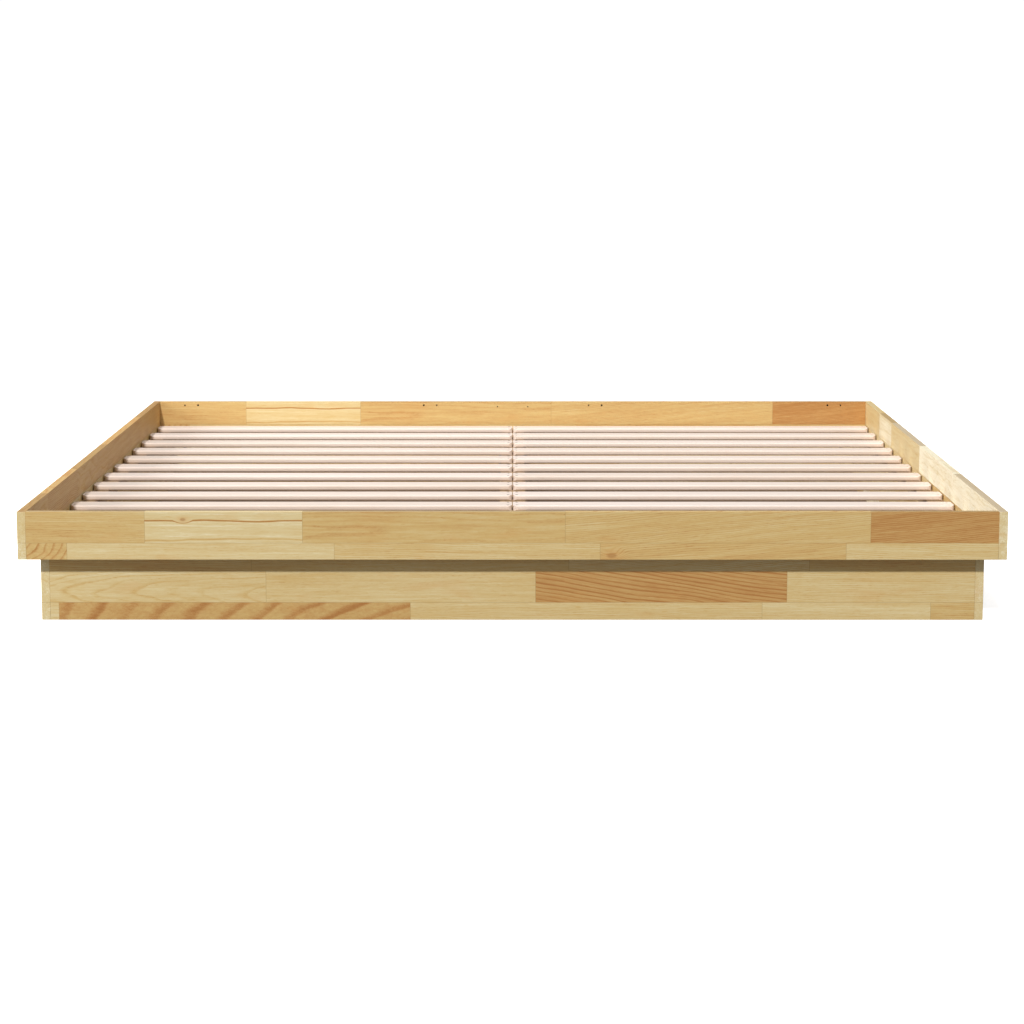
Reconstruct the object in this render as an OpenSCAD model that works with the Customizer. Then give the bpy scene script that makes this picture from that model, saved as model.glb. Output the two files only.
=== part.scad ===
// Low platform bed frame in oak. +Z is up, the foot of the bed faces -Y, and the
// origin is on the floor under the middle. Left and right are as seen from the foot.
// All sizes are in millimetres.

/* [Overall] */
// Width over the two side rails
frame_w = 2040; // [1400:10:2500]
// Length over the foot board and the head board
frame_l = 2040; // [1800:10:2500]
// Thickness of every oak board
board_t = 18; // [15:1:24]
// Height of the upper frame's boards
rail_h = 100; // [82:1:140]
// Height of the plinth's boards, which is also the height of the frame above the floor
plinth_h = 134; // [100:1:200]
// How far the plinth stands back behind the frame on all four sides
plinth_setback = 39.5; // [32:0.5:60]

/* [Slats] */
// Slats in each of the two columns
slat_count = 13; // [9:1:15]
// Width of a slat, along the bed
slat_w = 60; // [44:1:70]
// Thickness of a slat
slat_t = 13; // [10:0.5:15]
// Rounding of a slat's long edges
slat_edge_r = 4.5; // [2:0.5:4.5]
// Rounding of a slat's corners, seen from above
slat_corner_r = 10; // [5:1:18]
// Gap between a slat's outer end and the side rail
slat_end_gap = 2; // [1:0.5:8]
// Gap between the two columns on the centre line
slat_centre_gap = 2; // [1:0.5:6]
// How far the first slat lies on the foot ledgers
foot_bearing = 9.5; // [0.5:0.5:30]
// How far the last slat lies on the head ledgers
head_bearing = 22.5; // [0.5:0.5:30]

/* [Ledgers and batten] */
// Height of the ledgers and of the centre batten
ledger_h = 20; // [18:1:28]
// Width of the centre batten
batten_w = 60; // [44:1:80]
// Gap at the end of a ledger
ledger_gap = 1; // [0.5:0.5:3]
// Screws that hold each end ledger
end_ledger_screws = 3; // [2:1:4]
// A side ledger is screwed in one of this many slat gaps
side_screw_step = 3; // [2:1:4]

/* [Corner fixings] */
// Distance of the corner bolts from a board's top and bottom edge
bolt_inset = 28; // [22:1:32]
// Diameter of a corner bolt's shank
bolt_d = 6; // [5:0.5:8]
// Length of a corner bolt under its head
bolt_l = 60; // [56:1:64]
// Diameter of a corner bolt's head
bolt_head_d = 10; // [9:0.5:13]
// Height of a corner bolt's head, which is sunk flush
bolt_head_t = 4; // [3:0.5:6]
// Width across the flats of the bolt's hexagon socket
bolt_hex = 4; // [3:0.5:5]
// Diameter of a barrel nut
nut_d = 10; // [9:0.5:12]
// Distance of the barrel nut from the end of its board
nut_inset = 35; // [30:1:40]
// Wood left behind the barrel nut
nut_skin = 2; // [1:0.5:4]
// Diameter of a corner dowel
dowel_d = 8; // [6:1:8]
// Length of a corner dowel
dowel_l = 30; // [25:1:40]
// Depth of the dowel in the side rail
dowel_in_rail = 11; // [8:1:12]

/* [Screws] */
// Shank diameter of a slat screw
slat_screw_d = 3.5; // [3:0.5:4]
// Length of a slat screw
slat_screw_l = 26; // [22:1:28]
// Diameter of a slat screw's countersunk head
slat_head_d = 7; // [6:0.5:8]
// Depth of the head below the top of the slat
slat_head_sink = 0.2; // [0:0.1:1]
// Distance of a slat screw from the slat's long edge
slat_screw_edge = 9.5; // [8:0.5:14]
// Distance of the slat screws from the slat's ends
slat_screw_end = 9; // [7:0.5:12]
// Shank diameter of the ledger and plinth screws
wood_screw_d = 4; // [3:0.5:5]
// Head diameter of the ledger and plinth screws
wood_head_d = 8; // [7:0.5:9]
// Depth of a ledger screw in its frame board
ledger_screw_bite = 11; // [8:1:12]
// Depth of a plinth screw in its plinth board
plinth_screw_bite = 29; // [20:1:35]
// Distance along the ledger between a ledger screw and its plinth screw
screw_stagger = 30; // [20:2:40]

/* [Centre board brackets] */
// Length of each leg of a bracket
bracket_leg = 30; // [24:1:40]
// Height of a bracket
bracket_h = 60; // [50:2:70]
// Thickness of a bracket's steel
bracket_t = 2; // [1.5:0.5:3]
// Distance between a leg's two holes
bracket_pitch = 40; // [30:2:44]
// Difference in height between the brackets on the two sides of the board
bracket_stagger = 20; // [16:1:26]
// Length of a bracket screw under its head
bracket_screw_l = 15; // [12:1:16]

/* [Headboard holes] */
// Diameter of the bolt holes for a headboard
fix_bolt_d = 5.5; // [4:0.5:7]
// Diameter of the screw hole beside each bolt hole
fix_screw_d = 4.5; // [3:0.5:6]
// Distance between the two holes of a pair
fix_pitch = 37; // [30:1:45]
// Distance of the holes below the board's top edge
fix_drop = 10; // [8:0.5:15]
// Middle of an outer pair, from the end of the head board
fix_outer = 90; // [60:5:120]
// Middle of an inner pair, from the centre line
fix_inner = 234; // [150:1:280]
// Diameter of the two fine holes near the middle
fix_fine_d = 3.5; // [2:0.5:5]
// Distance of a fine hole from the centre line
fix_fine_x = 43; // [25:1:70]
// Distance of the fine holes below the board's top edge
fix_fine_drop = 14; // [10:0.5:20]
// Wood left at the back of the holes, drilled out when the headboard's bolts pass through
fix_skin = 3; // [1:0.5:5]

/* [Hidden] */
$fn = 48;
hexagon = 6;
// Air all round a shank in its hole, and beyond its tip
shank_air = 0.1;
tip_air = 1;
// How far a cutting shape runs past the face it cuts
past = 1;
// Sharpened end of a wood screw
tip_l = 4;
// Shape of a pan head: its flat top and its rim, as shares of its diameter and height
pan_top_share = 0.3;
pan_rim_share = 0.35;
// Chamfer on the ends of dowels, and slot in the face of a barrel nut
dowel_chamfer = 1;
nut_slot_w = 1.2;
nut_slot_depth = 1;
hex_depth = 2.5;
bracket_head_h = 2;

inner_w = frame_w - 2 * board_t;
inner_l = frame_l - 2 * board_t;
total_h = plinth_h + rail_h;
plinth_w = frame_w - 2 * plinth_setback;
plinth_l = frame_l - 2 * plinth_setback;
plinth_inner_w = plinth_w - 2 * board_t;
plinth_inner_l = plinth_l - 2 * board_t;
// A ledger reaches from the frame's inner face to the plinth's inner face
ledger_w = plinth_setback;
ledger_top = plinth_h + ledger_h;
side_ledger_x = (inner_w - ledger_w) / 2;
end_ledger_y = (inner_l - ledger_w) / 2;
end_ledger_from = batten_w / 2 + ledger_gap;
end_ledger_to = inner_w / 2 - ledger_w - ledger_gap;
end_ledger_l = end_ledger_to - end_ledger_from;
// Middle lines of the plinth's boards
plinth_side_x = (plinth_w - board_t) / 2;
plinth_end_y = (plinth_l - board_t) / 2;

// Gaps between the end boards and the slats next to them
foot_gap = ledger_w - foot_bearing;
head_gap = ledger_w - head_bearing;
slat_l = (inner_w - slat_centre_gap) / 2 - slat_end_gap;
slat_mid_x = (slat_centre_gap + slat_l) / 2;
slat_pitch = (inner_l - foot_gap - head_gap - slat_w) / (slat_count - 1);
first_slat_y = -inner_l / 2 + foot_gap + slat_w / 2;
slat_screw_row = slat_w / 2 - slat_screw_edge;
inner_screw_x = slat_centre_gap / 2 + slat_screw_end;
outer_screw_x = inner_w / 2 - slat_end_gap - slat_screw_end;

ledger_screw_l = ledger_w + ledger_screw_bite;
plinth_screw_l = ledger_h + plinth_screw_bite;
nut_l = board_t - 2 * nut_skin;
bolt_hole_l = bolt_head_t + bolt_l + tip_air;
bolt_hole_air = 0.5;

function slat_y(i) = first_slat_y + i * slat_pitch;
function slat_gap_y(i) = (slat_y(i) + slat_y(i + 1)) / 2;
function two_digits(i) = str(i < 10 ? "0" : "", i);
function slat_name(side, i) = str(side < 0 ? "left_slat_" : "right_slat_", two_digits(i + 1));

slats = [0 : slat_count - 1];
side_gaps = [floor(side_screw_step / 2) : side_screw_step : slat_count - 2];
// Screw places along one end ledger
end_places = [
    for (i = [0 : end_ledger_screws - 1]) end_ledger_from + end_ledger_l * (i + 0.5) / end_ledger_screws
];
bracket_rows = [-bracket_pitch / 2, bracket_pitch / 2];
SLAT_NODES = [for (side = [-1, 1]) for (i = slats) slat_name(side, i)];

// ---- Shapes that repeat ----

// A box centred in X and Y that stands on z
module bar(x, y, z, w, l, h) {
    translate([x - w / 2, y - l / 2, z]) cube([w, l, h]);
}

// A wood screw that points along -Z, with the underside of its pan head at z = 0
module pan_screw(d, l, head_d, head_h) {
    rotate_extrude() polygon([
        [0, head_h],
        [head_d * pan_top_share, head_h],
        [head_d / 2, head_h * pan_rim_share],
        [head_d / 2, 0],
        [d / 2, 0],
        [d / 2, tip_l - l],
        [0, -l],
    ]);
}

// A wood screw with a countersunk head, whose top is at z = 0
module sunk_screw(d, l, head_d) {
    rotate_extrude() polygon([
        [0, 0],
        [head_d / 2, 0],
        [d / 2, -(head_d - d) / 2],
        [d / 2, tip_l - l],
        [0, -l],
    ]);
}

// The hole that a screw leaves in the wood, straight down from z = 0
module pilot(d, l) {
    translate([0, 0, -l - tip_air]) cylinder(d = d + 2 * shank_air, h = l + tip_air + past);
}

// The same with the seat for a countersunk head
module sunk_pilot(d, l, head_d) {
    pilot(d, l);
    rotate_extrude() polygon([
        [0, past],
        [head_d / 2 + shank_air + past, past],
        [head_d / 2 + shank_air, 0],
        [0, -head_d / 2 - shank_air],
    ]);
}

// ---- Places ----

// The four outer corners of a box of boards. At each, +X points inwards along the end
// board, and y = 0 is the middle of that board's thickness.
module at_corners(w, l) {
    for (side = [-1, 1])
        for (end = [-1, 1])
            translate([side * w / 2, end * (l - board_t) / 2, 0])
                mirror([side > 0 ? 1 : 0, 0, 0])
                    children();
}

// The two bolt heights at a corner of boards h high that stand on z
module at_bolt_heights(z, h) {
    for (at = [bolt_inset, h - bolt_inset])
        translate([0, 0, z + at]) children();
}

// The two screws at one end of a slat, their heads at z = 0
module at_slat_end(x, i) {
    for (row = [-1, 1])
        translate([x, slat_y(i) + row * slat_screw_row, ledger_top + slat_t - slat_head_sink]) children();
}

module at_slat_screws(x) {
    for (i = slats) at_slat_end(x, i) children();
}

// Ledger screws, on the ledger's inner face, their heads at z = 0 and driven along -Z
module at_side_ledger_screws(side) {
    for (i = side_gaps)
        translate([side * (inner_w / 2 - ledger_w), slat_gap_y(i) - screw_stagger / 2, plinth_h + ledger_h / 2])
            rotate([0, side * -90, 0])
                children();
}

module at_end_ledger_screws(side, end) {
    for (x = end_places)
        translate([side * (x - screw_stagger / 2), end * (inner_l / 2 - ledger_w), plinth_h + ledger_h / 2])
            rotate([end * 90, 0, 0])
                children();
}

// Plinth screws, their heads on top of the ledgers and of the batten
module at_side_plinth_screws(side) {
    for (i = side_gaps)
        translate([side * plinth_side_x, slat_gap_y(i) + screw_stagger / 2, ledger_top]) children();
}

module at_end_plinth_screws(side, end) {
    for (x = end_places)
        translate([side * (x + screw_stagger / 2), end * plinth_end_y, ledger_top]) children();
}

module at_batten_screws() {
    for (i = side_gaps)
        translate([0, slat_gap_y(i), ledger_top]) children();
    at_batten_ends() children();
}

module at_batten_ends() {
    for (end = [-1, 1])
        translate([0, end * plinth_end_y, ledger_top]) children();
}

// The brackets in the corners between the centre board and the plinth's end boards.
// At each, +X points away from the centre board and +Y away from the end board.
module at_brackets() {
    for (side = [-1, 1])
        for (end = [-1, 1])
            translate([side * board_t / 2, end * plinth_inner_l / 2, (plinth_h + side * bracket_stagger) / 2])
                mirror([side < 0 ? 1 : 0, 0, 0])
                    mirror([0, end > 0 ? 1 : 0, 0])
                        children();
}

// Screws through the leg on the end board, then through the leg on the centre board
module at_end_leg_screws() {
    at_brackets()
        for (z = bracket_rows)
            translate([(bracket_leg + bracket_t) / 2, bracket_t, z]) rotate([-90, 0, 0]) children();
}

module at_centre_leg_screws() {
    at_brackets()
        for (z = bracket_rows)
            translate([bracket_t, (bracket_leg + bracket_t) / 2, z]) rotate([0, 90, 0]) children();
}

// ---- Holes that boards share ----

// At the end of an end board: bolt holes, dowel hole and the bores of the barrel nuts.
// nut_face is the side of the board that the nuts go in from.
module corner_holes(z, h, nut_face) {
    at_bolt_heights(z, h) {
        rotate([0, 90, 0]) {
            cylinder(d = bolt_d + 2 * bolt_hole_air, h = bolt_hole_l);
            translate([0, 0, -past]) cylinder(d = bolt_head_d + 2 * bolt_hole_air, h = bolt_head_t + past);
        }
        translate([board_t + nut_inset, nut_face * (board_t / 2 + past), 0])
            rotate([nut_face * 90, 0, 0])
                cylinder(d = nut_d + 2 * shank_air, h = board_t - nut_skin + past);
    }
    translate([board_t - dowel_in_rail - tip_air / 2, 0, z + h / 2])
        rotate([0, 90, 0])
            cylinder(d = dowel_d + 2 * shank_air, h = dowel_l + tip_air);
}

// ---- Upper frame ----

module end_board(end) {
    difference() {
        bar(0, end * (frame_l - board_t) / 2, plinth_h, inner_w, board_t, rail_h);
        at_corners(frame_w, frame_l) corner_holes(plinth_h, rail_h, 1);
        for (side = [-1, 1]) at_end_ledger_screws(side, end) pilot(wood_screw_d, ledger_screw_l);
    }
}

module foot_board() {
    color("#d3ad72") end_board(-1);
}

// Drills the head board from its inner face at x, drop below its top edge
module fix_hole(x, drop, d) {
    translate([x, inner_l / 2 - past, total_h - drop])
        rotate([-90, 0, 0])
            cylinder(d = d, h = board_t - fix_skin + past);
}

module head_board() {
    pair_x = inner_w / 2 - fix_outer;
    color("#dcb97d") difference() {
        end_board(1);
        for (side = [-1, 1]) {
            fix_hole(side * (pair_x - fix_pitch / 2), fix_drop, fix_bolt_d);
            fix_hole(side * (pair_x + fix_pitch / 2), fix_drop, fix_screw_d);
            fix_hole(side * (fix_inner + fix_pitch / 2), fix_drop, fix_bolt_d);
            fix_hole(side * (fix_inner - fix_pitch / 2), fix_drop, fix_screw_d);
            fix_hole(side * fix_fine_x, fix_fine_drop, fix_fine_d);
        }
    }
}

module side_rail(side) {
    color("#dcc088") difference() {
        bar(side * (frame_w - board_t) / 2, 0, plinth_h, board_t, frame_l, rail_h);
        at_corners(frame_w, frame_l) corner_holes(plinth_h, rail_h, 1);
        at_side_ledger_screws(side) pilot(wood_screw_d, ledger_screw_l);
    }
}

// ---- Ledgers and batten ----

module side_ledger(side) {
    color("#a68a66") difference() {
        bar(side * side_ledger_x, 0, plinth_h, ledger_w, inner_l - 2 * ledger_gap, ledger_h);
        at_side_ledger_screws(side) sunk_pilot(wood_screw_d, ledger_screw_l, wood_head_d);
        at_side_plinth_screws(side) sunk_pilot(wood_screw_d, plinth_screw_l, wood_head_d);
        at_slat_screws(side * outer_screw_x) pilot(slat_screw_d, slat_screw_l);
    }
}

module end_ledger(side, end) {
    middle = (end_ledger_from + end_ledger_to) / 2;
    color("#a68a66") difference() {
        bar(side * middle, end * end_ledger_y, plinth_h, end_ledger_l, ledger_w, ledger_h);
        at_end_ledger_screws(side, end) sunk_pilot(wood_screw_d, ledger_screw_l, wood_head_d);
        at_end_plinth_screws(side, end) sunk_pilot(wood_screw_d, plinth_screw_l, wood_head_d);
    }
}

module centre_batten() {
    color("#a68a66") difference() {
        bar(0, 0, plinth_h, batten_w, inner_l - 2 * ledger_gap, ledger_h);
        at_batten_screws() sunk_pilot(wood_screw_d, plinth_screw_l, wood_head_d);
        for (side = [-1, 1]) at_slat_screws(side * inner_screw_x) pilot(slat_screw_d, slat_screw_l);
    }
}

// ---- Plinth ----

module plinth_end(end) {
    difference() {
        bar(0, end * plinth_end_y, 0, plinth_inner_w, board_t, plinth_h);
        at_corners(plinth_w, plinth_l) corner_holes(0, plinth_h, -end);
        for (side = [-1, 1]) at_end_plinth_screws(side, end) pilot(wood_screw_d, plinth_screw_l);
        at_batten_ends() pilot(wood_screw_d, plinth_screw_l);
        at_end_leg_screws() pilot(wood_screw_d, bracket_screw_l);
    }
}

module plinth_front() {
    color("#d0a96b") plinth_end(-1);
}

module plinth_back() {
    color("#d0a96b") plinth_end(1);
}

module plinth_side(side) {
    color("#d8b880") difference() {
        bar(side * plinth_side_x, 0, 0, board_t, plinth_l, plinth_h);
        at_corners(plinth_w, plinth_l) corner_holes(0, plinth_h, 1);
        at_side_plinth_screws(side) pilot(wood_screw_d, plinth_screw_l);
    }
}

module plinth_centre_board() {
    color("#d8b880") difference() {
        bar(0, 0, 0, board_t, plinth_inner_l, plinth_h);
        at_batten_screws() pilot(wood_screw_d, plinth_screw_l);
        at_centre_leg_screws() pilot(wood_screw_d, bracket_screw_l);
    }
}

// ---- Slats ----

module round_rect(w, h, r) {
    square([w - 2 * r, h], center = true);
    square([w, h - 2 * r], center = true);
    for (x = [-1, 1])
        for (y = [-1, 1])
            translate([x * (w / 2 - r), y * (h / 2 - r)]) circle(r);
}

module slat(side, i) {
    color("#f4e8dc") difference() {
        translate([side * slat_mid_x, slat_y(i), ledger_top + slat_t / 2])
            intersection() {
                rotate([90, 0, 90])
                    linear_extrude(slat_l, center = true) round_rect(slat_w, slat_t, slat_edge_r);
                linear_extrude(slat_t + 2 * past, center = true) round_rect(slat_l, slat_w, slat_corner_r);
            }
        for (x = [inner_screw_x, outer_screw_x])
            at_slat_end(side * x, i) sunk_pilot(slat_screw_d, slat_screw_l, slat_head_d);
    }
}

// ---- Corner fixings ----

module bolts(w, l, z, h) {
    color("#b8b8b6") at_corners(w, l) at_bolt_heights(z, h) rotate([0, 90, 0]) difference() {
        union() {
            cylinder(d = bolt_head_d, h = bolt_head_t);
            cylinder(d = bolt_d, h = bolt_head_t + bolt_l);
        }
        translate([0, 0, -past])
            cylinder(d = bolt_hex / cos(180 / hexagon), h = hex_depth + past, $fn = hexagon);
    }
}

// nut_face is as in corner_holes, for the front end and then for the back end
module barrel_nuts(w, l, z, h, nut_face) {
    color("#c9c6bf") for (end = [-1, 1]) intersection() {
        at_corners(w, l) at_bolt_heights(z, h) barrel_nut(nut_face[end < 0 ? 0 : 1]);
        bar(0, end * l / 2, z, w, 4 * board_t, h);
    }
}

module barrel_nut(nut_face) {
    translate([board_t + nut_inset, 0, 0]) difference() {
        rotate([90, 0, 0]) cylinder(d = nut_d, h = nut_l, center = true);
        rotate([0, 90, 0]) cylinder(d = bolt_d + 2 * shank_air, h = nut_d + 2 * past, center = true);
        translate([0, nut_face * (nut_l / 2 - nut_slot_depth / 2 + past / 2), 0])
            cube([nut_d + 2 * past, nut_slot_depth + past, nut_slot_w], center = true);
    }
}

module dowels(w, l, z, h) {
    color("#e3c592") at_corners(w, l)
        translate([board_t - dowel_in_rail, 0, z + h / 2]) rotate([0, 90, 0]) rotate_extrude() polygon([
            [0, 0],
            [dowel_d / 2 - dowel_chamfer, 0],
            [dowel_d / 2, dowel_chamfer],
            [dowel_d / 2, dowel_l - dowel_chamfer],
            [dowel_d / 2 - dowel_chamfer, dowel_l],
            [0, dowel_l],
        ]);
}

module frame_bolts() {
    bolts(frame_w, frame_l, plinth_h, rail_h);
}

module frame_barrel_nuts() {
    barrel_nuts(frame_w, frame_l, plinth_h, rail_h, [1, 1]);
}

module frame_dowels() {
    dowels(frame_w, frame_l, plinth_h, rail_h);
}

module plinth_bolts() {
    bolts(plinth_w, plinth_l, 0, plinth_h);
}

module plinth_barrel_nuts() {
    barrel_nuts(plinth_w, plinth_l, 0, plinth_h, [1, -1]);
}

module plinth_dowels() {
    dowels(plinth_w, plinth_l, 0, plinth_h);
}

// ---- Brackets and screws ----

module centre_brackets() {
    color("#bdbdbb") difference() {
        at_brackets() translate([0, 0, -bracket_h / 2]) {
            cube([bracket_leg, bracket_t, bracket_h]);
            cube([bracket_t, bracket_leg, bracket_h]);
        }
        at_end_leg_screws() pilot(wood_screw_d, bracket_screw_l);
        at_centre_leg_screws() pilot(wood_screw_d, bracket_screw_l);
    }
}

module bracket_screws() {
    color("#aaaaa8") {
        at_end_leg_screws() pan_screw(wood_screw_d, bracket_screw_l, wood_head_d, bracket_head_h);
        at_centre_leg_screws() pan_screw(wood_screw_d, bracket_screw_l, wood_head_d, bracket_head_h);
    }
}

module ledger_screws() {
    color("#aaaaa8") for (side = [-1, 1]) {
        at_side_ledger_screws(side) sunk_screw(wood_screw_d, ledger_screw_l, wood_head_d);
        for (end = [-1, 1]) at_end_ledger_screws(side, end) sunk_screw(wood_screw_d, ledger_screw_l, wood_head_d);
    }
}

module plinth_screws() {
    color("#aaaaa8") {
        at_batten_screws() sunk_screw(wood_screw_d, plinth_screw_l, wood_head_d);
        for (side = [-1, 1]) {
            at_side_plinth_screws(side) sunk_screw(wood_screw_d, plinth_screw_l, wood_head_d);
            for (end = [-1, 1]) at_end_plinth_screws(side, end) sunk_screw(wood_screw_d, plinth_screw_l, wood_head_d);
        }
    }
}

module slat_screws(x) {
    color("#aaaaa8") at_slat_screws(x) sunk_screw(slat_screw_d, slat_screw_l, slat_head_d);
}

foot_board();
head_board();
side_rail(-1);  // left_side_rail
side_rail(1);  // right_side_rail
side_ledger(-1);  // left_ledger
side_ledger(1);  // right_ledger
end_ledger(-1, -1);  // foot_ledger_left
end_ledger(1, -1);  // foot_ledger_right
end_ledger(-1, 1);  // head_ledger_left
end_ledger(1, 1);  // head_ledger_right
centre_batten();
plinth_front();
plinth_back();
plinth_side(-1);  // plinth_left
plinth_side(1);  // plinth_right
plinth_centre_board();
for (side = [-1, 1]) for (i = slats) slat(side, i);
frame_bolts();
frame_barrel_nuts();
frame_dowels();
plinth_bolts();
plinth_barrel_nuts();
plinth_dowels();
centre_brackets();
bracket_screws();
ledger_screws();
plinth_screws();
slat_screws(-outer_screw_x);  // left_outer_slat_screws
slat_screws(-inner_screw_x);  // left_inner_slat_screws
slat_screws(inner_screw_x);  // right_inner_slat_screws
slat_screws(outer_screw_x);  // right_outer_slat_screws
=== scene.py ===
# %% [markdown]
# # A low oak bed frame
# The bed is an upper frame of four oak boards that stands on a plinth of four more. Two columns
# of pale birch slats lie on pine ledgers inside it. The solid parts are already made to size, so
# this file gives them their looks: each oak board is rebuilt from its staves, the screws get their
# cross recess, and every surface gets a finish made from nodes.

# %% Load the bed
import random
from math import cos, pi, radians, sin

import bmesh
import bpy
from mathutils import Matrix, Vector


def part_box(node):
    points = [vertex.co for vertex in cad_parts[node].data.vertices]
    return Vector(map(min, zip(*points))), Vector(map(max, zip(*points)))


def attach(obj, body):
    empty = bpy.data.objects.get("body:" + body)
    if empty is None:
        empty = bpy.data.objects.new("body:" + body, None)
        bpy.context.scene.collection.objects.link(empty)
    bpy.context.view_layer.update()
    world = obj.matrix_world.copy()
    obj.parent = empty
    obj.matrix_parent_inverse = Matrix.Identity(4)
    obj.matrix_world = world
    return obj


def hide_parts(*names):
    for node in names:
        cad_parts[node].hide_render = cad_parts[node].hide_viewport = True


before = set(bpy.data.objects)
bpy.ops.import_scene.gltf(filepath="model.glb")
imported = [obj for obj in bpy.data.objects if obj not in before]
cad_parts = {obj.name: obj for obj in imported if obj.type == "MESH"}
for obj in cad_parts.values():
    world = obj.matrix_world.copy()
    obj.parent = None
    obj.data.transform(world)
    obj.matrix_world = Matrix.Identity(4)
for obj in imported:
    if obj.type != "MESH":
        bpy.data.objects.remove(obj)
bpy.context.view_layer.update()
MM = 0.001

# %% [markdown]
# ## Camera
# The eye stands in front of the foot of the bed, a little above its top edge, with a long lens.
# A long lens from far away keeps the two side rails nearly parallel.

# %% Set up the camera
EYE = (0.003, -6.2, 1.045)
LOOK_DOWN = radians(8.9)
LOOK_LEFT = radians(0.04)
SENSOR_WIDTH = 36.0
FOCAL_LENGTH = 89.67
camera_data = bpy.data.cameras.new("camera")
camera_data.sensor_width = SENSOR_WIDTH
camera_data.lens = FOCAL_LENGTH
camera = bpy.data.objects.new("camera", camera_data)
camera.location = EYE
camera.rotation_euler = (pi / 2 - LOOK_DOWN, 0, LOOK_LEFT)
bpy.context.scene.collection.objects.link(camera)
bpy.context.scene.camera = camera

# %% [markdown]
# ## Light
# One hard key, high in front and slightly to the left, gives the shadow under the upper frame. A soft
# panel hangs over the bed, so that level faces are the brightest, and a second one stands at the left
# and fills the inner face of the right rail. The rest is an even pale room. The room looks white
# to the eye but lends only part of that light, so that shaded corners keep their depth.
# Colours are shown as they are, with no film curve.

# %% Set up the lights
scene = bpy.context.scene
scene.view_settings.view_transform = "Standard"
scene.view_settings.look = "None"

KEY_TRAVEL = Vector((0.11, 0.725, -0.6))
KEY_STRENGTH = 2.62
KEY_WIDTH = radians(4)
ROOM_WHITE = 1.05
ROOM_LENT = 0.31

key_data = bpy.data.lights.new("key", "SUN")
key_data.energy = KEY_STRENGTH
key_data.angle = KEY_WIDTH
key = bpy.data.objects.new("key", key_data)
key.rotation_mode = "QUATERNION"
key.rotation_quaternion = KEY_TRAVEL.to_track_quat("-Z", "Y")
scene.collection.objects.link(key)


def add_panel(name, centre, aim, width, height, power):
    """A rectangle of soft light that faces a point."""
    panel_data = bpy.data.lights.new(name, "AREA")
    panel_data.shape = "RECTANGLE"
    panel_data.size = width
    panel_data.size_y = height
    panel_data.energy = power
    panel = bpy.data.objects.new(name, panel_data)
    panel.location = centre
    panel.rotation_mode = "QUATERNION"
    panel.rotation_quaternion = (Vector(aim) - Vector(centre)).to_track_quat("-Z", "Y")
    scene.collection.objects.link(panel)


# Each panel's place, the point it faces, its width and height in metres, and its power in watts
PANELS = {
    "top_panel": ((0, 0.3, 2.8), (0, 0.3, 0), 3.5, 3.5, 40),
    "left_panel": ((-3.6, 0.2, 1.1), (0.6, 0.2, 0.2), 4.0, 1.6, 140),
}
for panel_name, panel_facts in PANELS.items():
    add_panel(panel_name, *panel_facts)
print("lit by a key and", len(PANELS), "panels")


def seen_or_lent(tree, seen, lent, output):
    """Shows one shader to the eye and lights the bed by another."""
    either = tree.nodes.new("ShaderNodeMixShader")
    tree.links.new(tree.nodes.new("ShaderNodeLightPath").outputs["Is Camera Ray"], either.inputs[0])
    tree.links.new(lent.outputs[0], either.inputs[1])
    tree.links.new(seen.outputs[0], either.inputs[2])
    tree.links.new(either.outputs[0], output.inputs["Surface"])


world = bpy.data.worlds.new("soft_room")
world.use_nodes = True
room_seen = world.node_tree.nodes["Background"]
room_lent = world.node_tree.nodes.new("ShaderNodeBackground")
for room, strength in ((room_seen, ROOM_WHITE), (room_lent, ROOM_LENT)):
    room.inputs["Color"].default_value = (1, 1, 1, 1)
    room.inputs["Strength"].default_value = strength
seen_or_lent(world.node_tree, room_seen, room_lent, world.node_tree.nodes["World Output"])
scene.world = world

# %% [markdown]
# ## Helpers for materials
# A finish is a short recipe of nodes. These helpers add one node each and join it to what it
# reads, so that a recipe reads from top to bottom like a list of steps.

# %% Define the node helpers
def plug(tree, socket, value):
    """Joins a socket to another node's output, or sets it to a plain value."""
    if isinstance(value, bpy.types.NodeSocket):
        tree.links.new(value, socket)
    elif value is not None:
        socket.default_value = value


def calc(tree, operation, a, b=None, c=None, clamp=False):
    node = tree.nodes.new("ShaderNodeMath")
    node.operation = operation
    node.use_clamp = clamp
    for socket, value in zip(node.inputs, (a, b, c)):
        plug(tree, socket, value)
    return node.outputs[0]


def vector_calc(tree, operation, a, b=None):
    node = tree.nodes.new("ShaderNodeVectorMath")
    node.operation = operation
    for socket, value in zip(node.inputs, (a, b)):
        plug(tree, socket, value)
    return node.outputs["Value"] if operation == "LENGTH" else node.outputs["Vector"]


def split(tree, vector):
    node = tree.nodes.new("ShaderNodeSeparateXYZ")
    plug(tree, node.inputs[0], vector)
    return node.outputs


def join(tree, x, y, z):
    node = tree.nodes.new("ShaderNodeCombineXYZ")
    for socket, value in zip(node.inputs, (x, y, z)):
        plug(tree, socket, value)
    return node.outputs[0]


def cloud(tree, vector, stretch, detail=2.0, roughness=0.5, distortion=0.0):
    """Smooth noise from 0 to 1. stretch is how many lumps fit in a metre each way."""
    node = tree.nodes.new("ShaderNodeTexNoise")
    plug(tree, node.inputs["Vector"], vector_calc(tree, "MULTIPLY", vector, stretch))
    node.inputs["Scale"].default_value = 1.0
    node.inputs["Detail"].default_value = detail
    node.inputs["Roughness"].default_value = roughness
    node.inputs["Distortion"].default_value = distortion
    return node.outputs["Fac"]


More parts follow.
